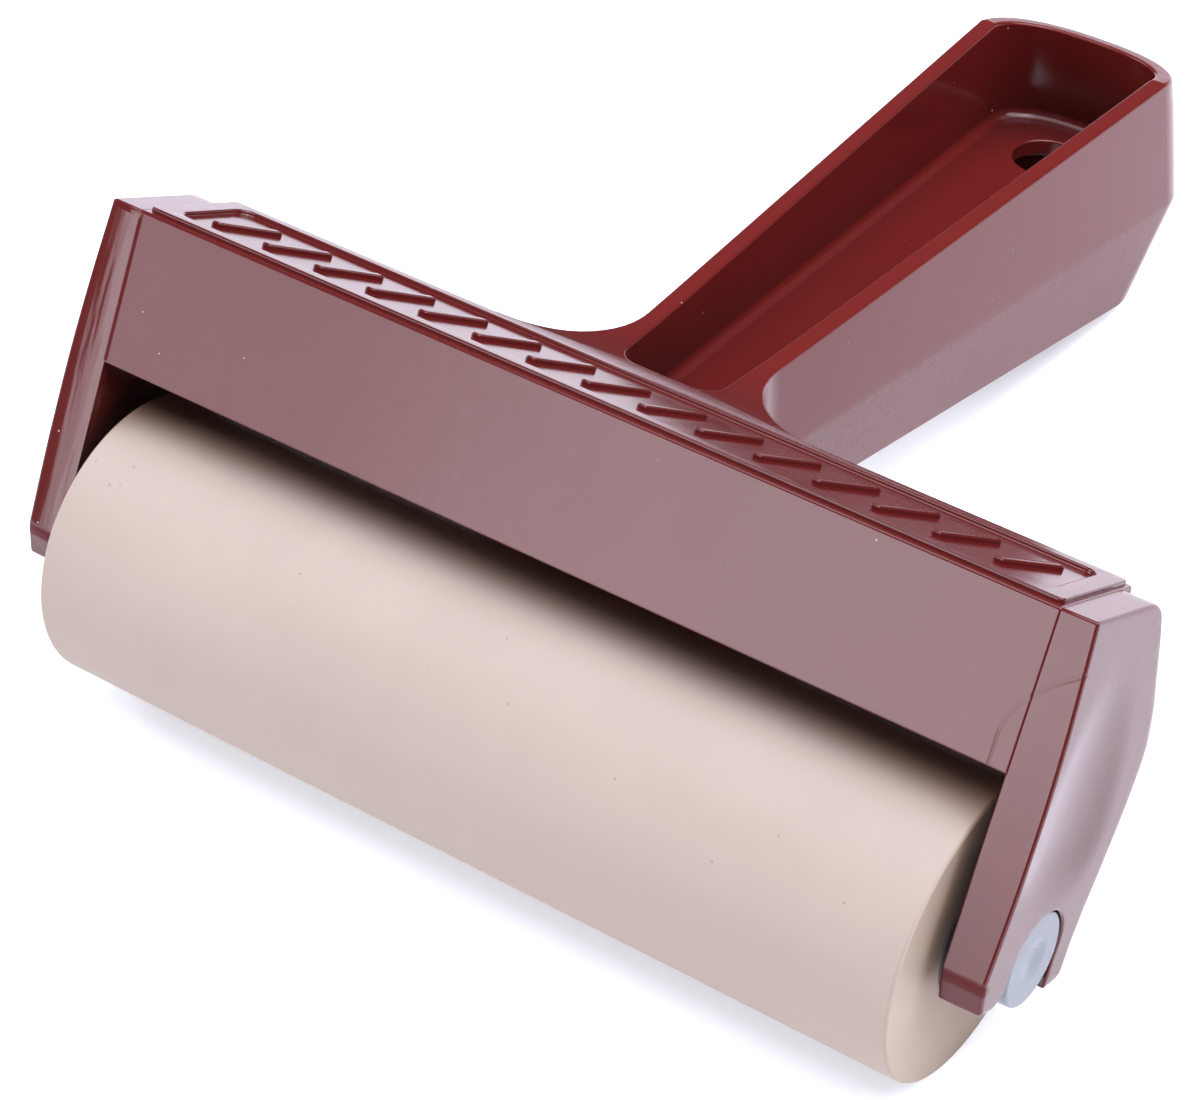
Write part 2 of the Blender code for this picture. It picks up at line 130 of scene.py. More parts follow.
# Handle: d runs along it from its root, and k runs down from its top plane
SLOPE = math.radians(24.2)
HANDLE_ROOT_Y = 17.1
HANDLE_LENGTH = 82.4
ROOT_HALF_WIDTH = 7.5
FLARE = 0.053
FILLET_ACROSS = 12.0
FILLET_ALONG = 10.3
FILLET_START = -0.8
WALL_DRAFT = 0.6
CREASE_DEPTH = 9.4
CREASE_FALL = 0.09
SKIRT_DEPTH = 19.4
SKIRT_FALL = 0.127
SKIRT_TUCK = 2.1
FLOOR_DEPTH = 7.6
FLOOR_FALL = 0.066
FLOOR_THICKNESS = 2.0
FLOOR_ROUND = 1.2
END_BULGE = 8.3
END_SQUARENESS = 2.3
END_DRAFT = 0.22
END_TUCK = 4.6
RIM_TILT = 0.25
ROOT_BLEND = 1.5
RIM_WALL = 2.02
RIM_DRAFT = 0.018
RIM_OUTER_ROUND = 0.42
RIM_INNER_ROUND = 0.4
SKIRT_OUTER_ROUND = 0.4
SKIRT_INNER_ROUND = 0.3
HOLE_RADIUS = 4.25
HOLE_D = 80.3
HOLE_FLARE = 0.28

# Camera: degrees and metres, around a point near the middle of the crossbar
CAMERA_AZIMUTH = 37.365
CAMERA_ELEVATION = 43.357
CAMERA_ROLL = math.radians(-3.275)
CAMERA_DISTANCE = 0.373
CAMERA_AIM = Vector((0.0, -0.0413, 0.0324))
CAMERA_LENS = 114.85
CAMERA_SHIFT = (0.0219, -0.0021)

release = next(j for j in frame["joints"] if j["name"] == "roller_release")
tilt = math.atan2(-release["axis"][1], -release["axis"][2])
sleeve_low, sleeve_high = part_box("rubber_sleeve")
axle_row = (sleeve_low + sleeve_high) / 2
lean = Matrix.Rotation(-tilt, 4, "X")
SECTION = Matrix.Translation(axle_row - lean @ Vector((0.0, AXLE_Y * MM, AXLE_Z * MM))) @ lean
TO_ROW = SECTION @ Matrix.Scale(MM, 4)


# ---------------------------------------------------------------- mesh helpers

def loft(rings):
    """Skin closed rings of equal length, and cap both ends; the last face is the last cap."""
    bm = bmesh.new()
    loops = [[bm.verts.new(p) for p in ring] for ring in rings]
    count = len(loops[0])
    for lower, upper in zip(loops, loops[1:]):
        for i in range(count):
            j = (i + 1) % count
            bm.faces.new((lower[i], lower[j], upper[j], upper[i]))
    bm.faces.new(loops[0])
    bm.faces.new(loops[-1])
    return bm


def arc(centre, radius, start, stop, steps):
    """Points along a circle between two angles in degrees."""
    angles = [math.radians(start + (stop - start) * i / steps) for i in range(steps + 1)]
    return [(centre[0] + radius * math.cos(a), centre[1] + radius * math.sin(a)) for a in angles]


def quarter(steps):
    """Pairs (along, up) of a quarter round, from (0, 0) to (1, 1)."""
    angles = [math.pi / 2 * i / steps for i in range(steps + 1)]
    return [(1 - math.cos(a), math.sin(a)) for a in angles]


def fillet(corners, steps=5):
    """Round the corners (u, v, radius) of a closed outline; a radius of 0 keeps the corner."""
    out = []
    count = len(corners)
    for i, (u, v, radius) in enumerate(corners):
        here = Vector((u, v))
        if radius == 0:
            out.append((u, v))
            continue
        before = Vector(corners[i - 1][:2]) - here
        after = Vector(corners[(i + 1) % count][:2]) - here
        half_angle = before.angle(after) / 2
        reach = radius / math.tan(half_angle)
        reach = min(reach, 0.48 * before.length, 0.48 * after.length)
        start = here + before.normalized() * reach
        stop = here + after.normalized() * reach
        for s in range(steps + 1):
            t = s / steps
            p = start * (1 - t) ** 2 + here * 2 * t * (1 - t) + stop * t ** 2
            out.append((p.x, p.y))
    return out


def subdivide(points, values, longest):
    """Split an outline's long segments, and spread the values that go with its points."""
    out = []
    spread = []
    for i, (point, value) in enumerate(zip(points, values)):
        ahead = points[(i + 1) % len(points)]
        beyond = values[(i + 1) % len(points)]
        parts = max(1, math.ceil((Vector(ahead) - Vector(point)).length / longest))
        for s in range(parts):
            t = s / parts
            out.append((point[0] + (ahead[0] - point[0]) * t, point[1] + (ahead[1] - point[1]) * t))
            spread.append(value + (beyond - value) * t)
    return out, spread


def outline_normals(points, closed=True):
    """Unit normals to the left of each point of an outline."""
    normals = []
    count = len(points)
    for i in range(count):
        before = points[i - 1] if closed or i else points[i]
        after = points[(i + 1) % count] if closed or i < count - 1 else points[i]
        step = Vector(points[i]) - Vector(before)
        ahead = Vector(after) - Vector(points[i])
        tangent = Vector((0.0, 0.0))
        for part in (step, ahead):
            if part.length > 1e-9:
                tangent += part.normalized()
        tangent.normalize()
        normals.append(Vector((-tangent.y, tangent.x)))
    return normals


def offset(points, distance, closed=True):
    """Move an outline to its left; distance is one number or one for each point."""
    if not hasattr(distance, "__len__"):
        distance = [distance] * len(points)
    normals = outline_normals(points, closed)
    return [(p[0] + n.x * d, p[1] + n.y * d) for p, n, d in zip(points, normals, distance)]


def turned(profile, closed, segments):
    """Turn (x, radius) points about the roller's axis."""
    bm = bmesh.new()
    angles = [2 * math.pi * i / segments for i in range(segments)]
    rows = []
    for x, radius in profile:
        if radius == 0.0:
            rows.append([bm.verts.new((x, AXLE_Y, AXLE_Z))] * segments)
            continue
        rows.append([
            bm.verts.new((x, AXLE_Y + radius * math.cos(a), AXLE_Z + radius * math.sin(a)))
            for a in angles])
    pairs = list(zip(rows, rows[1:]))
    if closed:
        pairs.append((rows[-1], rows[0]))
    for first, second in pairs:
        for i in range(segments):
            j = (i + 1) % segments
            corners = [first[i], first[j], second[j], second[i]]
            bm.faces.new(list(dict.fromkeys(corners)))
    return bm


def raw_object(name, bm):
    """Turn a bmesh into an object of the scene, with its faces looking outwards."""
    bmesh.ops.recalc_face_normals(bm, faces=bm.faces)
    mesh = bpy.data.meshes.new(name)
    bm.to_mesh(mesh)
    bm.free()
    obj = bpy.data.objects.new(name, mesh)
    bpy.context.scene.collection.objects.link(obj)
    return obj


def piece(name, obj, mat, body, replaced):
    """Put a shape drawn in the section in its place, smooth it and let it ride on a body."""
    obj.name = name
    mesh = obj.data
    mesh.name = name
    mesh.transform(TO_ROW)
    mesh.materials.clear()
    mesh.materials.append(mat)
    mesh.shade_smooth()
    mesh.set_sharp_from_angle(angle=SHARP_ANGLE)
    weighted = obj.modifiers.new("weighted", "WEIGHTED_NORMAL")
    weighted.keep_sharp = True
    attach(obj, body)
    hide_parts(replaced)


def cleaned(mesh):
    """Take out the slivers that cutting leaves behind."""
    bm = bmesh.new()
    bm.from_mesh(mesh)
    bmesh.ops.remove_doubles(bm, verts=bm.verts, dist=WELD)
    bmesh.ops.triangulate(bm, faces=[f for f in bm.faces if len(f.verts) > 4])
    for _ in range(2):
        bmesh.ops.dissolve_degenerate(bm, dist=WELD, edges=bm.edges)
    bm.to_mesh(mesh)
    bm.free()
    return mesh


def combine(base, *steps):
    """Unite and cut closed shapes in turn, and return the base with the resulting mesh."""
    for operation, tools in steps:
        for tool in tools:
            mod = base.modifiers.new(tool.name, "BOOLEAN")
            mod.operation = operation
            mod.solver = "MANIFOLD"
            mod.object = tool
    depsgraph = bpy.context.evaluated_depsgraph_get()
    mesh = bpy.data.meshes.new_from_object(base.evaluated_get(depsgraph))
    base.modifiers.clear()
    base.data = cleaned(mesh)
    for _, tools in steps:
        for tool in tools:
            bpy.data.objects.remove(tool)
    return base


# ---------------------------------------------------------------- crossbar

def crossbar_back(z):
    """Y of the crossbar's rear face, which leans back towards the bottom."""
    return CROSSBAR_TOP_DEPTH - z * math.tan(SLOPE)


def crossbar_channel():
    """The crossbar as a channel open at the bottom, with rounds along all its edges."""
    slant = CROSSBAR_WALL / math.cos(SLOPE)
    bottom = -CROSSBAR_HEIGHT
    ceiling = -CROSSBAR_WALL
    section = fillet([
        (0.0, bottom, 0.25),
        (CROSSBAR_WALL, bottom, 0.25),
        (CROSSBAR_WALL, ceiling, 1.0),
        (crossbar_back(ceiling) - slant, ceiling, 1.0),
        (crossbar_back(bottom) - slant, bottom, 0.25),
        (crossbar_back(bottom), bottom, 0.25),
        (CROSSBAR_TOP_DEPTH, 0.0, 0.35),
        (0.0, 0.0, 0.35),
    ])
    half = ARM_INNER + 0.25
    edge = CROSSBAR_END_ROUND
    mid_round = edge * 0.3
    rings = []
    for x, inset in ((-half, edge), (-half + mid_round, mid_round), (-half + edge, 0.0),
                     (half - edge, 0.0), (half - mid_round, mid_round), (half, edge)):
        rings.append([(x, y, z) for y, z in offset(section, inset)])
    return raw_object("channel", loft(rings))


def end_plug(side):
    """The solid stretch of the crossbar next to each arm."""
    bottom = -CROSSBAR_HEIGHT + 0.25
    margin = 0.5
    section = [
        (margin, bottom), (crossbar_back(bottom) - margin, bottom),
        (CROSSBAR_TOP_DEPTH - margin, -margin), (margin, -margin),
    ]
    low = ARM_INNER - CROSSBAR_WALL
    rings = [[(side * x, y, z) for y, z in section] for x in (low, ARM_INNER + 0.3)]
    return raw_object("end_plug", loft(rings))


def rounded_rectangle(x_half, y_low, y_high, radius):
    """An outline centred on the section, with four rounded corners."""
    corners = (
        ((x_half - radius, y_high - radius), 0),
        ((-x_half + radius, y_high - radius), 90),
        ((-x_half + radius, y_low + radius), 180),
        ((x_half - radius, y_low + radius), 270),
    )
    return [p for centre, start in corners for p in arc(centre, radius, start, start + 90, 6)]


def top_panel():
    """The raised panel on the crossbar's top."""
    outer = rounded_rectangle(ARM_INNER - 0.2, PANEL_FRONT, PANEL_BACK, PANEL_CORNER)
    edge = PANEL_EDGE_ROUND
    rings = [[(x, y, -1.0) for x, y in outer]]
    for along, up in quarter(4):
        z = PANEL_RAISE - edge + edge * up
        rings.append([(x, y, z) for x, y in offset(outer, edge * along)])
    return raw_object("panel", loft(rings))


def panel_bed():
    """Cutter for the bed sunk in the panel, which leaves a rounded lip and a filleted floor."""
    bed = rounded_rectangle(RECESS_HALF_LENGTH, PANEL_FRONT + RECESS_MARGIN,
                            PANEL_BACK - RECESS_MARGIN, RECESS_CORNER)
    edge = RECESS_EDGE_ROUND
    floor = PANEL_RAISE - RECESS_DEPTH
    rings = [[(x, y, 2.0) for x, y in offset(bed, -edge)]]
    for along, up in reversed(quarter(4)):
        z = PANEL_RAISE - edge + edge * up
        rings.append([(x, y, z) for x, y in offset(bed, -edge * along)])
    for along, up in quarter(3):
        z = floor + edge * (1 - up)
        rings.append([(x, y, z) for x, y in offset(bed, edge * along)])
    return raw_object("bed", loft(rings))


def ribs():
    """The row of slanted ribs in the panel's bed, each with a rounded top."""
    bm = bmesh.new()
    pitch = 2 * RIB_ROW_HALF_LENGTH / (RIB_COUNT - 1)
    middle = (PANEL_FRONT + PANEL_BACK) / 2
    half = RIB_WIDTH / 2
    floor = PANEL_RAISE - RECESS_DEPTH
    edge = RIB_EDGE_ROUND
    for index in range(RIB_COUNT):
        x = pitch * index - RIB_ROW_HALF_LENGTH
        corners = fillet([
            (x - RIB_SLANT - half, middle - RIB_HALF_LENGTH, RIB_CORNER),
            (x - RIB_SLANT + half, middle - RIB_HALF_LENGTH, RIB_CORNER),
            (x + RIB_SLANT + half, middle + RIB_HALF_LENGTH, RIB_CORNER),
            (x + RIB_SLANT - half, middle + RIB_HALF_LENGTH, RIB_CORNER),
        ], 4)
        rings = [[(u, v, floor - 0.4) for u, v in corners]]
        for along, up in quarter(4):
            z = PANEL_RAISE - edge + edge * up
            rings.append([(u, v, z) for u, v in offset(corners, edge * along)])
        rib = loft(rings)
        copy = bpy.data.meshes.new("rib")
        rib.to_mesh(copy)
        rib.free()
        bm.from_mesh(copy)
        bpy.data.meshes.remove(copy)
    return raw_object("ribs", bm)


# ---------------------------------------------------------------- arms

def arm_plane_x(z):
    """An arm's outer face without its hollow: splayed, and bowed in length."""
    t = min(1.0, max(0.0, -z / ARM_LENGTH))
    return ARM_TOP_HALF_WIDTH + ARM_SPLAY * t + ARM_BOW * math.sin(math.pi * t)


def arm_face_x(y, z):
    """An arm's outer face, with a soft hollow down its middle that runs out near the bush."""
    face = arm_plane_x(z)
    deepest = SCOOP_TOP_X + (SCOOP_LOW_X - SCOOP_TOP_X) * (SCOOP_TOP_Z - z) / SCOOP_RUN
    depth = face - deepest - (y - AXLE_Y + SCOOP_FORWARD) ** 2 / (2 * SCOOP_RADIUS)
    fade = min(1.0, max(0.0, (z - SCOOP_END_Z) / SCOOP_FADE))
    depth = depth * fade * fade * (3 - 2 * fade) - SCOOP_RUN_OUT * (1 - fade)
    return face - 0.5 * (depth + math.sqrt(depth * depth + SCOOP_SOFTNESS * SCOOP_SOFTNESS))


def arm(side):
    """One arm: its side outline with the open slot, drawn out to the shaped outer face.

    Each corner of the outline is (y, z, corner radius, round of the outer edge there).
    """
    slot = BUSH_DIAMETER / 2 + SLOT_GAP
    front = 0.12
    top = -0.05
    spec = [
        (front, top, 0.3, 0.35),
        (15.1, top, 4.0, 0.4),
        (18.4, -4.4, 16.0, 1.4),
        (21.6, -9.3, 20.0, 2.4),
        (24.1, -14.8, 30.0, 2.8),
        (22.7, -24.0, 60.0, 2.6),
        (21.1, -31.0, 60.0, 2.0),
        (20.2, -36.0, 20.0, 1.2),
        (19.7, -39.3, 1.6, 0.8),
        (AXLE_Y + slot + 0.1, -39.6, 0.4, 0.3),
        (AXLE_Y + slot, -36.6, 0.0, 0.3),
    ]
    spec += [(y, z, 0.0, 0.3) for y, z in arc((AXLE_Y, AXLE_Z), slot, 0, 180, 28)]
    spec += [
        (AXLE_Y - slot, -37.4, 0.6, 0.3),
        (AXLE_Y - slot - 1.2, -39.2, 2.2, 0.7),
        (1.6, -39.1, 0.6, 0.5),
        (front, -35.9, 3.2, 0.4),
    ]
    outline = fillet([(y, z, radius) for y, z, radius, _ in spec], 5)
    rounds = [edge for _, _, radius, edge in spec for _ in range(6 if radius else 1)]
    outline, rounds = subdivide(outline, rounds, ARM_FACE_GRID)
    for _ in range(4):
        rounds = [(rounds[i - 1] + 2 * rounds[i] + rounds[(i + 1) % len(rounds)]) / 4
                  for i in range(len(rounds))]
    rings = [
        [(ARM_INNER, y, z) for y, z in offset(outline, -ARM_INNER_ROUND)],
        [(ARM_INNER + 0.07, y, z) for y, z in offset(outline, -0.07)],
        [(ARM_INNER + ARM_INNER_ROUND, y, z) for y, z in outline],
    ]
    for along, up in quarter(8):
        moved = offset(outline, [-r * along for r in rounds])
        rings.append([(arm_face_x(y, z) - r * (1 - up), y, z)
                      for (y, z), r in zip(moved, rounds)])
    bm = loft(rings)

    # The cap is cut into a grid, so that it can take the shape of the outer face.
    bm.faces.ensure_lookup_table()
    faces = [bm.faces[-1]]
    for axis, low, high in ((2, -40.0, 0.0), (1, 0.0, 25.0)):
        normal = Vector((0.0, 0.0, 0.0))
        normal[axis] = 1.0
        for n in range(int((high - low) / ARM_FACE_GRID)):
            at = Vector((0.0, 0.0, 0.0))
            at[axis] = low + ARM_FACE_GRID * (n + 0.5)
            edges = dict.fromkeys(e for f in faces for e in f.edges)
            verts = dict.fromkeys(v for f in faces for v in f.verts)
            geom = faces + list(edges) + list(verts)
            result = bmesh.ops.bisect_plane(bm, geom=geom, dist=1e-5,
                                            plane_co=at, plane_no=normal)
            faces = list(dict.fromkeys(g for g in faces + result["geom"]
                                       if isinstance(g, bmesh.types.BMFace) and g.is_valid))
    for vert in dict.fromkeys(v for f in faces for v in f.verts):
        vert.co.x = arm_face_x(vert.co.y, vert.co.z)

    # The front face turns away a little from the crossbar's.
    for vert in bm.verts:
        turned_away = math.tan(ARM_FRONT_TURN) * (vert.co.x - ARM_INNER)
        vert.co.y += turned_away * max(0.0, 1.0 - vert.co.y / ARM_FRONT_DEPTH)
        vert.co.x *= side
    return raw_object("arm", bm)


# ---------------------------------------------------------------- handle

def handle_point(x, d, k):
    """A point of the section, from the handle's own x, d and k."""
    y = HANDLE_ROOT_Y + d * math.cos(SLOPE) + k * math.sin(SLOPE)
    z = d * math.sin(SLOPE) - k * math.cos(SLOPE)
    return (x, y, z)


def crease_k(d):
    """Where the sides change from leaning out to tucking in."""
    return CREASE_DEPTH + CREASE_FALL * d


def skirt_k(d):
    """The lower edge of the sides."""
    return SKIRT_DEPTH + SKIRT_FALL * d


def floor_k(d):
    """The floor of the trough."""
    return FLOOR_DEPTH + FLOOR_FALL * d


def rim_k(d):
    """The rim's plane, which bends down to the crossbar's top at the root and falls at the tip."""
    level = d * math.tan(SLOPE)
    root = 0.5 * (level - math.sqrt(level * level + ROOT_BLEND * ROOT_BLEND))
    root *= min(1.0, max(0.0, (14.0 - d) / 10.0))
    return root + RIM_TILT * max(0.0, d - HANDLE_LENGTH)


def half_width(d, k):
    """Half the handle's width: wider towards its end, and widest at the crease."""
    top = ROOT_HALF_WIDTH + FLARE * d
    if k <= crease_k(d):
        return top + WALL_DRAFT * k / crease_k(d)
    t = (k - crease_k(d)) / (skirt_k(d) - crease_k(d))
    return top + WALL_DRAFT - SKIRT_TUCK * t


def end_shift(k):
    """How far the rounded end moves out above the crease, and back in below it."""
    crease = crease_k(HANDLE_LENGTH)
    if k <= crease:
        return END_DRAFT * k
    skirt = skirt_k(HANDLE_LENGTH)
    return END_DRAFT * crease - END_TUCK * (k - crease) / (skirt - crease)


def plan(half_of, root, corner, stop, bulge):
    """Closed plan of the handle: right side, rounded end, left side.

    A corner above 0 is a pocket's rounded front corner; otherwise the side flares into the
    crossbar's back.
    """
    side = []
    root_steps, straight_steps, end_steps = 14, 14, 26
    across = -corner if corner else FILLET_ACROSS
    along = corner if corner else FILLET_ALONG
    for i in range(root_steps + 1):
        a = math.pi / 2 * i / root_steps
        d = root + along * (1 - math.cos(a))
        side.append((half_of(d) + across * (1 - math.sin(a)), d))
    if corner:
        side.insert(0, (side[0][0] * 0.5, root))
    else:
        side.insert(0, (side[0][0], root - 0.8))
    start = root + along
    for i in range(1, straight_steps):
        d = start + (stop - start) * i / straight_steps
        side.append((half_of(d), d))
    half = half_of(stop)
    power = 2.0 / END_SQUARENESS
    for i in range(end_steps + 1):
        a = math.pi / 2 * i / end_steps
        side.append((half * math.cos(a) ** power, stop + bulge * math.sin(a) ** power))
    side[-1] = (0.0, stop + bulge)
    return side + [(-x, d) for x, d in reversed(side[:-1])]


def outer_ring(k_of, inset=0.0):
    """A ring of the outside; k_of gives its height at each d."""
    points = plan(lambda d: half_width(d, k_of(d)), FILLET_START, 0.0,
                  HANDLE_LENGTH + end_shift(k_of(HANDLE_LENGTH)), END_BULGE)
    return [handle_point(x, d, k_of(d)) for x, d in offset(points, inset, False)]


def trough_ring(k_of, inset=0.0):
    """A ring of the pocket in the top; its walls lean in a little towards the floor."""
    at = k_of(HANDLE_LENGTH)
    points = plan(lambda d: ROOT_HALF_WIDTH + FLARE * d - RIM_WALL - RIM_DRAFT * k_of(d), 0.6, 2.4,
                  HANDLE_LENGTH + 0.07 * at, END_BULGE - 2.0 - 0.04 * at)
    return [handle_point(x, d, k_of(d)) for x, d in offset(points, inset, False)]


def skirt_ring(k_of, wall, inset=0.0):
    """A ring of the hollow underneath."""
    points = plan(lambda d: half_width(d, k_of(d)) - wall, CROSSBAR_WALL, 1.2,
                  HANDLE_LENGTH + end_shift(k_of(HANDLE_LENGTH)), END_BULGE - wall)
    return [handle_point(x, d, k_of(d)) for x, d in offset(points, inset, False)]


def handle_shell():
    """One skin: ceiling of the hollow, skirt, outside, rim, inside and floor of the trough."""
    ceiling = lambda d: floor_k(d) + FLOOR_THICKNESS
    rings = []
    for along, up in reversed(quarter(3)):
        rings.append(skirt_ring(lambda d: ceiling(d) + 0.8 * (1 - up), 2.2, 0.8 * along))
    edge = SKIRT_INNER_ROUND
    for along, up in quarter(3):
        rings.append(skirt_ring(lambda d: skirt_k(d) - edge + edge * up, 1.3, -edge * along))
    edge = SKIRT_OUTER_ROUND
    for along, up in reversed(quarter(4)):
        rings.append(outer_ring(lambda d: skirt_k(d) - edge + edge * up, edge * along))
    for share in (0.66, 0.33):
        rings.append(outer_ring(lambda d: crease_k(d) + (skirt_k(d) - crease_k(d)) * share))
    for drop in (0.35, 0.0, -0.35):
        rings.append(outer_ring(lambda d: crease_k(d) + drop, 0.02 if drop == 0 else 0.0))
    for share in (0.75, 0.5, 0.25):
        rings.append(outer_ring(lambda d: crease_k(d) * share))
    edge = RIM_OUTER_ROUND
    for along, up in quarter(6):
        rings.append(outer_ring(lambda d: rim_k(d) + edge * (1 - up), edge * along))
    edge = RIM_INNER_ROUND
    for along, up in reversed(quarter(5)):
        rings.append(trough_ring(lambda d: rim_k(d) + edge * (1 - up), -edge * along))
    for share in (0.35, 0.7):
        rings.append(trough_ring(lambda d: (floor_k(d) - FLOOR_ROUND) * share))
    for along, up in quarter(6):
        rings.append(trough_ring(lambda d: floor_k(d) - FLOOR_ROUND * (1 - up),
                                 FLOOR_ROUND * along))
    return raw_object("handle", loft(rings))


def hang_hole():
    """Cutter for the hanging hole, flared a little at both faces of the floor."""
    flare = HOLE_FLARE
    levels = [(-4.0, flare)]
    for along, up in quarter(5):
        levels.append((flare * along, flare * (1 - up)))
    for along, up in reversed(quarter(5)):
        levels.append((FLOOR_THICKNESS - flare * along, flare * (1 - up)))
    levels.append((7.0, flare))
    rings = []
    for step, more in levels:
        k = floor_k(HOLE_D) + step
        d = HOLE_D - FLOOR_FALL * step
        circle = arc((0.0, 0.0), HOLE_RADIUS + more, 0, 354.375, 63)
        rings.append([handle_point(x, d + v, k + FLOOR_FALL * v) for x, v in circle])
    return raw_object("hang_hole", loft(rings))


# ---------------------------------------------------------------- materials

PAINTED_SHADE_REACH = 0.014              # metres
HANDLE_START = (17.0, 25.0)     # Y in the section, over which the handle's lower gloss and its painted light, a lighter red, take over
FRONT_FACE = (0.6, 1.0)         # Y in the section, where the front faces end
RIGHT_LEG = (52.3, 52.9)        # X in the section, where the right arm starts


class Nodes:
    """Short hand for building one material's node tree."""

    def __init__(self, name):
        self.mat = bpy.data.materials.new(name)
        self.mat.use_nodes = True
        self.tree = self.mat.node_tree
        self.shader = self.tree.nodes["Principled BSDF"]

    def add(self, kind, inputs=None, **settings):
        node = self.tree.nodes.new(kind)
        for key, value in settings.items():
            setattr(node, key, value)
        for key, value in (inputs or {}).items():
            self.put(node.inputs[key], value)
        return node

    def put(self, socket, value):
        if isinstance(value, bpy.types.NodeSocket):
            self.tree.links.new(value, socket)
        else:
            socket.default_value = value

    def set(self, **values):
        for key, value in values.items():
            self.put(self.shader.inputs[key.replace("_", " ")], value)

    def place(self, scale=(1.0, 1.0, 1.0), turn=(0.0, 0.0, 0.0)):
        coords = self.add("ShaderNodeTexCoord")
        mapping = self.add("ShaderNodeMapping", {"Vector": coords.outputs["Object"],
                                                 "Scale": scale, "Rotation": turn})
        return mapping.outputs["Vector"]

    def section(self):
        """X, Y and Z in the frame's section, in millimetres."""
        coords = self.add("ShaderNodeTexCoord")
        turned_back = self.add("ShaderNodeMapping", {
            "Vector": coords.outputs["Object"], "Location": SECTION.translation,
            "Rotation": SECTION.to_euler(), "Scale": (MM, MM, MM)}, vector_type="TEXTURE")
        split = self.add("ShaderNodeSeparateXYZ", {"Vector": turned_back.outputs["Vector"]})
        return turned_back.outputs["Vector"], split.outputs

    def facing(self):
        """X, Y and Z of the surface's own normal."""
        normal = self.add("ShaderNodeNewGeometry").outputs["Normal"]
        return self.add("ShaderNodeSeparateXYZ", {"Vector": normal}).outputs

    def band(self, value, centre, half_width, fade):
        """1 within half_width of centre, fading to 0 over the given distance."""
        off = self.math("ABSOLUTE", self.math("SUBTRACT", value, centre))
        return self.ramp(off, half_width, half_width + fade, 1.0, 0.0)

    def noise(self, scale, detail=3.0, roughness=0.5, vector=None):
        node = self.add("ShaderNodeTexNoise", {
            "Vector": vector or self.place(), "Scale": scale, "Detail": detail,
            "Roughness": roughness})
        return node.outputs["Fac"]

    def ramp(self, fac, low, high, start=0.0, stop=1.0):
        """Map fac from [low, high] to [start, stop], clamped."""
        node = self.add("ShaderNodeMapRange", {
            "Value": fac, "From Min": low, "From Max": high, "To Min": start, "To Max": stop})
        return node.outputs["Result"]

    def math(self, operation, a, b=0.0):
        node = self.add("ShaderNodeMath", operation=operation)
        self.put(node.inputs[0], a)
        self.put(node.inputs[1], b)
        return node.outputs[0]

    def product(self, first, *others):
        """Multiply sockets and numbers; the first is a socket."""
        for other in others:
            first = self.math("MULTIPLY", first, other)
        return first

    def mix(self, fac, a, b):
        """Blend two colours; a colour is a socket or (red, green, blue)."""
        node = self.add("ShaderNodeMix", data_type="RGBA")
        self.put(node.inputs[0], fac)
        for index, colour in ((6, a), (7, b)):
            self.put(node.inputs[index], (*colour, 1.0) if isinstance(colour, tuple) else colour)
        return node.outputs[2]

    def occlusion(self, distance, samples=8, **settings):
        """1 in the open, and less where something stands within the distance."""
        node = self.add("ShaderNodeAmbientOcclusion", {"Distance": distance}, samples=samples,
                        **settings)
        return node.outputs["AO"]

    def bump(self, height, strength, distance, normal=None):
        inputs = {"Height": height, "Strength": strength, "Distance": distance}
        if normal is not None:
            inputs["Normal"] = normal
        return self.add("ShaderNodeBump", inputs).outputs["Normal"]

    def specks(self, scale, radius, share):
        """1 inside sparse small dots, 0 elsewhere; share is how many cells hold one."""
        node = self.add("ShaderNodeTexVoronoi", {
            "Vector": self.place(), "Scale": scale, "Randomness": 1.0})
        dot = self.ramp(node.outputs["Distance"], radius * 0.6, radius, 1.0, 0.0)
        pick = self.add("ShaderNodeSeparateColor", {"Color": node.outputs["Color"]})
        chosen = self.math("LESS_THAN", pick.outputs[0], share)
        return self.math("MULTIPLY", dot, chosen)


def burgundy_colour(n, handled, y, z):
    """Colour and dust, with painted shade darkening the nooks but not the crossbar's top, and
    painted light making the handle a lighter red.
    """
    cloud = n.noise(35.0, 4.0, 0.55)
    base = n.mix(n.ramp(cloud, 0.3, 0.7), (0.082, 0.0076, 0.0072), (0.090, 0.0086, 0.0082))
    # Painted light: the handle is given a lighter red than the rest of the same moulding.
    base = n.mix(handled, base, (0.118, 0.0105, 0.0092))
    # Painted shade: the colour goes nearly black where occlusion is strong, in the nooks, the
    # trough and the hole; the crossbar's top is kept clear of it.
    own = n.occlusion(PAINTED_SHADE_REACH, only_local=True)
    all_round = n.occlusion(PAINTED_SHADE_REACH)
    open_sky = n.add("ShaderNodeMix", {"Factor": handled, "A": all_round, "B": own})
    depth = n.ramp(open_sky.outputs["Result"], 0.10, 0.80, 0.10, 1.0)
    on_top = n.product(n.ramp(z, -2.0, -1.0), n.ramp(y, *HANDLE_START, 1.0, 0.0))
    depth = n.math("MAXIMUM", depth, on_top)
    base = n.mix(depth, (0.007, 0.0050, 0.0054), base)
    fine = n.product(n.specks(800.0, 0.06, 0.02), 0.6)
    dust = n.math("MAXIMUM", n.specks(300.0, 0.042, 0.24), fine)
    return n.mix(dust, base, (0.42, 0.35, 0.33)), dust


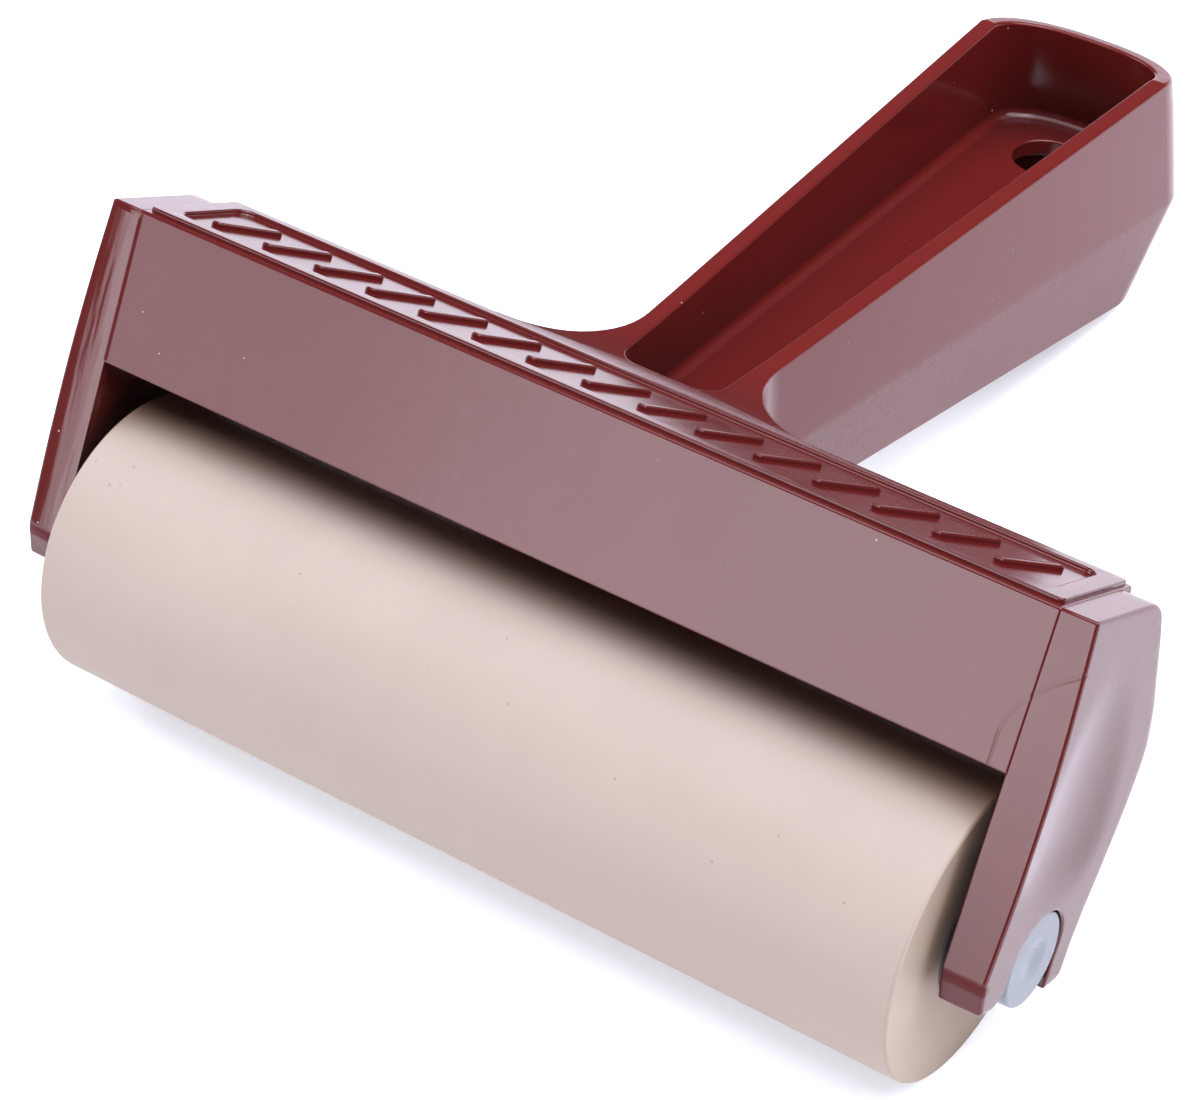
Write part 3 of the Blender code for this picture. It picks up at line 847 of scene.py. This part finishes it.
def burgundy_gloss(n, handled, across, x, y, z):
    """Reflectivity: less on the handle, the right leg and its chamfer; flow ripples and grain."""
    chamfer = n.product(n.band(z, -36.3, 0.45, 0.25), n.ramp(y, 1.0, 1.6, 1.0, 0.0))
    gloss = n.ramp(handled, 0.0, 1.0, 0.5, 0.30)
    facing = n.facing()
    undercut = n.product(handled, n.ramp(facing["Z"], -0.02, -0.12))
    gloss = n.math("SUBTRACT", gloss, n.product(undercut, 0.14))
    sideways = n.ramp(n.math("ABSOLUTE", facing["X"]), 0.5, 0.8, 1.0, 0.0)
    right_leg = n.product(n.ramp(x, *RIGHT_LEG), sideways)
    gloss = n.math("SUBTRACT", gloss, n.product(right_leg, n.ramp(z, -10.0, -36.0, 0.0, 0.19)))
    place = n.add("ShaderNodeMapping", {"Vector": across, "Location": (16.0, 0.0, 30.0)})
    rings = n.add("ShaderNodeTexWave", {
        "Vector": place.outputs["Vector"], "Scale": 0.36, "Distortion": 2.0, "Detail": 1.0,
        "Detail Scale": 0.4}, wave_type="RINGS", rings_direction="Y")
    patch = n.product(n.band(x, -32.0, 4.0, 16.0), n.ramp(y, *FRONT_FACE, 1.0, 0.0))
    ripples = n.product(rings.outputs["Fac"], patch, 0.03)
    grain = n.ramp(n.noise(2200.0, 2.0, 0.6), 0.3, 0.7, -0.02, 0.02)
    gloss = n.math("ADD", n.math("SUBTRACT", gloss, ripples), grain)
    return n.ramp(chamfer, 0.0, 1.0, gloss, 0.12)


def draw_streaks(n, across, x, y, z):
    """Streaks down the left arm's front, on a slight bow."""
    stretched = n.add("ShaderNodeMapping", {"Vector": across, "Scale": (0.30, 0.30, 0.035)})
    streaks = n.noise(1.0, 3.0, 0.55, stretched.outputs["Vector"])
    off_middle = n.math("SUBTRACT", x, -55.45)
    bow = n.product(off_middle, off_middle, -0.15)
    left_front = n.product(n.ramp(x, -RIGHT_LEG[0], -RIGHT_LEG[1]), n.ramp(y, 0.6, 1.2, 1.0, 0.0),
                           n.ramp(z, -0.3, -0.8))
    return n.product(n.math("ADD", streaks, bow), left_front)


def knit_line(n, x, y, z):
    """A line down the front near the right arm, which bends outwards at its top."""
    bend = n.math("MAXIMUM", n.math("ADD", z, 13.2), 0.0)
    curve = n.product(bend, bend, 0.09)
    run = n.math("SUBTRACT", n.math("SUBTRACT", x, KNIT_LINE_X), curve)
    slope = n.math("ADD", n.product(bend, 0.18), 1.0)
    line = n.band(n.math("DIVIDE", run, slope), 0.0, 0.03, 0.16)
    return n.product(line, n.ramp(y, *FRONT_FACE, 1.0, 0.0), n.ramp(z, -3.0, -5.0))


def burgundy_plastic():
    n = Nodes("burgundy_plastic")
    across, (x, y, z) = n.section()
    handled = n.ramp(y, *HANDLE_START)
    colour, dust = burgundy_colour(n, handled, y, z)
    n.set(Base_Color=colour, IOR=1.52,
          Specular_IOR_Level=burgundy_gloss(n, handled, across, x, y, z))
    smear = n.noise(60.0, 6.0, 0.6, n.place((1.0, 0.25, 0.25), (0.3, 0.5, 0.2)))
    rough = n.ramp(smear, 0.35, 0.75, 0.13, 0.21)
    n.set(Roughness=n.math("MAXIMUM", rough, n.product(dust, 0.8)))

    # Sink marks and orange peel come first, then the marks of the mould and the dust.
    normal = n.bump(n.noise(28.0, 1.0, 0.3), 0.25, 0.0005)
    normal = n.bump(n.noise(520.0, 2.0, 0.4), 0.06, 0.0002, normal)
    normal = n.bump(draw_streaks(n, across, x, y, z), 0.5, 0.0004, normal)
    normal = n.bump(knit_line(n, x, y, z), 0.6, -0.00004, normal)
    n.set(Normal=n.bump(dust, 0.6, 0.0001, normal))
    return n.mat


def tan_rubber():
    n = Nodes("tan_rubber")
    mottle = n.noise(90.0, 5.0, 0.6)
    broad = n.noise(14.0, 2.0, 0.5)
    base = n.mix(n.ramp(mottle, 0.3, 0.7), (0.350, 0.286, 0.248), (0.377, 0.309, 0.269))
    base = n.mix(n.ramp(broad, 0.3, 0.7, 0.0, 0.35), base, (0.368, 0.294, 0.258))

    # Painted light makes the end faces paler, and painted shade makes the rubber browner in the
    # nooks that look upwards.
    facing = n.facing()
    # Painted light: faces that look along the roller are given a paler tan.
    end_painted_light = n.ramp(n.math("ABSOLUTE", facing["X"]), 0.6, 0.95)
    base = n.mix(end_painted_light, base, (0.455, 0.37, 0.308))
    upward = n.product(n.ramp(facing["Z"], -0.35, 0.0), n.ramp(end_painted_light, 0.0, 1.0, 1.0, 0.6))
    # Painted shade: a brown tint where occlusion is strong on upward-facing rubber, as under the
    # crossbar.
    nook_painted_shade = n.product(n.ramp(n.occlusion(0.02), 0.25, 0.80, 0.9, 0.0), upward)
    base = n.mix(nook_painted_shade, base, (0.30, 0.165, 0.095))
    dark = n.specks(300.0, 0.052, 0.60)
    n.set(Base_Color=n.mix(n.product(dark, 0.5), base, (0.16, 0.10, 0.08)), IOR=1.45)
    n.set(Roughness=n.ramp(mottle, 0.3, 0.7, 0.52, 0.62))
    grind = n.noise(1.0, 3.0, 0.6, n.place((3200.0, 120.0, 120.0)))
    normal = n.bump(grind, 0.05, 0.0002)
    n.set(Normal=n.bump(n.noise(2600.0, 2.0, 0.5), 0.10, 0.0001, normal))
    return n.mat


def white_nylon():
    n = Nodes("white_nylon")
    milk = n.noise(160.0, 3.0, 0.5)
    n.set(Base_Color=n.mix(n.ramp(milk, 0.3, 0.7), (0.180, 0.205, 0.250), (0.205, 0.230, 0.280)))
    n.set(Roughness=n.ramp(milk, 0.3, 0.7, 0.26, 0.38))
    n.set(Subsurface_Weight=0.35, Subsurface_Scale=0.002, Subsurface_Radius=(1.0, 1.0, 1.0))
    n.set(Normal=n.bump(n.noise(900.0, 2.0), 0.06, 0.0001))
    return n.mat


def drawn_out(name, stretch, detail, colours, roughness, bump, metallic):
    """A material whose variation runs along the roller, as in an extruded or drawn part."""
    n = Nodes(name)
    streak = n.noise(1.0, detail, 0.6, n.place(stretch))
    n.set(Base_Color=n.mix(n.ramp(streak, 0.3, 0.7), *colours), Metallic=metallic)
    n.set(Roughness=n.ramp(streak, 0.3, 0.7, *roughness))
    n.set(Normal=n.bump(streak, bump, 0.0002))
    return n.mat


# ---------------------------------------------------------------- pieces

burgundy = burgundy_plastic()
rubber = tan_rubber()
nylon = white_nylon()
tube = drawn_out("core_plastic", (30.0, 900.0, 900.0), 3.0,
                 ((0.60, 0.58, 0.53), (0.68, 0.66, 0.61)), (0.42, 0.55), 0.08, 0.0)
steel = drawn_out("axle_steel", (25.0, 2400.0, 2400.0), 4.0,
                  ((0.50, 0.50, 0.49), (0.62, 0.62, 0.60)), (0.24, 0.36), 0.06, 1.0)

moulding = combine(
    crossbar_channel(),
    ("UNION", [end_plug(1), end_plug(-1), top_panel(), arm(1), arm(-1), handle_shell()]),
    ("DIFFERENCE", [panel_bed(), hang_hole()]),
    ("UNION", [ribs()]),
)
piece("frame_moulding", moulding, burgundy, "frame", "frame")


def sleeve_profile():
    """The rubber cover's cross-section, with rounded outer rims."""
    half = ROLLER_LENGTH / 2
    radius = ROLLER_DIAMETER / 2
    edge = ROLLER_EDGE_ROUND
    right = [(half, CORE_DIAMETER / 2 + BOND_GAP)]
    right += [(half - edge * along, radius - edge + edge * up) for along, up in quarter(6)]
    middle = [(half * 0.5, radius), (0.0, radius), (-half * 0.5, radius)]
    left = [(-x, r) for x, r in reversed(right)]
    return right + middle + left


sleeve = raw_object("sleeve", turned(sleeve_profile(), True, ROLLER_SEGMENTS))
piece("roller_sleeve", sleeve, rubber, "roller", "rubber_sleeve")


def bush_profile(side):
    """A closed-ended bush, with a dimple in its end and a flange inside the arm."""
    journal = BUSH_DIAMETER / 2
    flange = BUSH_FLANGE_DIAMETER / 2
    bore = AXLE_DIAMETER / 2 + RUNNING_GAP
    face = arm_plane_x(AXLE_Z) - BUSH_SET_BACK
    out = ARM_INNER - BUSH_FLANGE_GAP
    steps = 8
    profile = [(face - BUSH_DIMPLE_DEPTH, 0.0)]
    for i in range(1, steps + 1):
        share = i / steps
        depth = BUSH_DIMPLE_DEPTH * 0.5 * (1 + math.cos(math.pi * share))
        profile.append((face - depth, BUSH_DIMPLE_RADIUS * share))
    edge = BUSH_EDGE_ROUND
    profile += [(face - edge * (1 - up), journal - edge * along)
                for along, up in reversed(quarter(6))]
    profile += [(out, journal), (out, flange), (out - BUSH_FLANGE_THICKNESS, flange),
                (out - BUSH_FLANGE_THICKNESS, bore), (face - BUSH_END_WALL, bore),
                (face - BUSH_END_WALL, 0.0)]
    return [(side * x, r) for x, r in profile]


for word, side in (("left", -1), ("right", 1)):
    shape = raw_object("bush", turned(bush_profile(side), False, BUSH_SEGMENTS))
    piece(f"bush_{word}", shape, nylon, "cartridge", f"end_bush_{word}")

for node, mat in (("core_tube", tube), ("hub_plug_left", nylon), ("hub_plug_right", nylon),
                  ("axle_rod", steel)):
    mesh = frame["nodes"][node].data
    mesh.materials.clear()
    mesh.materials.append(mat)


# ---------------------------------------------------------------- stage, light, camera

FLOOR_RADIUS = 0.9
FLOOR_Z = -0.00005
DAYLIGHT = (0.97, 0.97, 1.05)
# Name, azimuth and elevation in degrees, distance, width and height in metres, radiance
SOFTBOXES = (
    ("front_wide", -20.5, 13, 1.1, 0.72, 0.50, 3.1),
    ("front_near", -14, 13, 1.0, 0.50, 0.42, 1.8),
    ("left", -80, 30, 1.2, 0.7, 0.5, 5.4),
    ("key", 118, 61, 1.6, 1.6, 1.3, 5.6),
    ("overhead", 0, 85, 1.6, 1.6, 1.3, 3.6),
)


def plain_floor():
    """A pale round floor; it glows a little for the camera and in reflections, as in a tent, and
    its glow for the camera is dimmed near things as painted shadow.
    """
    bm = bmesh.new()
    bmesh.ops.create_circle(bm, cap_ends=True, segments=96, radius=FLOOR_RADIUS)
    floor = raw_object("floor", bm)
    floor.location.z = FLOOR_Z
    n = Nodes("floor")
    rays = n.add("ShaderNodeLightPath")
    paper = n.noise(55.0, 3.0, 0.5)
    warm = n.mix(n.ramp(paper, 0.3, 0.7), (0.86, 0.83, 0.79), (0.88, 0.85, 0.81))
    n.set(Base_Color=n.mix(rays.outputs["Is Diffuse Ray"], (0.80, 0.81, 0.87), warm))
    n.set(Roughness=0.9, Specular_IOR_Level=0.0)
    # Painted shadow: the floor's glow for the camera is dimmed where occlusion is strong, near the
    # brayer.
    glow_with_painted_shadow = n.ramp(n.occlusion(0.03, 12), 0.2, 0.80, 0.47, 0.66)
    seen = n.product(rays.outputs["Is Camera Ray"], glow_with_painted_shadow)
    mirrored = n.product(rays.outputs["Is Glossy Ray"], 0.44)
    glow = n.math("ADD", seen, mirrored)
    n.set(Emission_Color=(0.92, 0.94, 1.0, 1.0), Emission_Strength=glow)
    floor.data.materials.append(n.mat)


def away(azimuth, elevation):
    """Unit vector from the object; azimuth 0 is in front and 90 to the right, in degrees."""
    a = math.radians(azimuth)
    e = math.radians(elevation)
    return Vector((math.sin(a) * math.cos(e), -math.cos(a) * math.cos(e), math.sin(e)))


def softbox(name, azimuth, elevation, distance, width, height, radiance):
    """A rectangular light that faces the object."""
    back = away(azimuth, elevation)
    light = bpy.data.lights.new(name, "AREA")
    light.shape = "RECTANGLE"
    light.size = width
    light.size_y = height
    light.energy = radiance * math.pi * width * height
    light.color = DAYLIGHT
    obj = bpy.data.objects.new(name, light)
    obj.location = back * distance
    obj.rotation_mode = "QUATERNION"
    obj.rotation_quaternion = back.to_track_quat("Z", "Y")
    bpy.context.scene.collection.objects.link(obj)


def surroundings():
    """White to the camera, and a dim even grey to everything else."""
    world = bpy.data.worlds.new("studio")
    bpy.context.scene.world = world
    world.use_nodes = True
    tree = world.node_tree
    path = tree.nodes.new("ShaderNodeLightPath")
    mix = tree.nodes.new("ShaderNodeMix")
    mix.data_type = "RGBA"
    mix.inputs[6].default_value = (0.14, 0.14, 0.15, 1.0)
    mix.inputs[7].default_value = (1.0, 1.0, 1.0, 1.0)
    tree.links.new(path.outputs["Is Camera Ray"], mix.inputs[0])
    tree.links.new(mix.outputs[2], tree.nodes["Background"].inputs["Color"])


def camera():
    """A long lens to the front right and above, with a small shift for the framing."""
    data = bpy.data.cameras.new("camera")
    data.lens = CAMERA_LENS
    data.shift_x, data.shift_y = CAMERA_SHIFT
    data.clip_start = 0.01
    data.clip_end = 50.0
    obj = bpy.data.objects.new("camera", data)
    back = away(CAMERA_AZIMUTH, CAMERA_ELEVATION)
    turn = back.to_track_quat("Z", "Y").to_matrix() @ Matrix.Rotation(CAMERA_ROLL, 3, "Z")
    obj.matrix_world = Matrix.Translation(CAMERA_AIM + back * CAMERA_DISTANCE) @ turn.to_4x4()
    bpy.context.scene.collection.objects.link(obj)
    bpy.context.scene.camera = obj


plain_floor()
surroundings()
for box in SOFTBOXES:
    softbox(*box)
camera()
bpy.context.scene.view_settings.view_transform = "Standard"
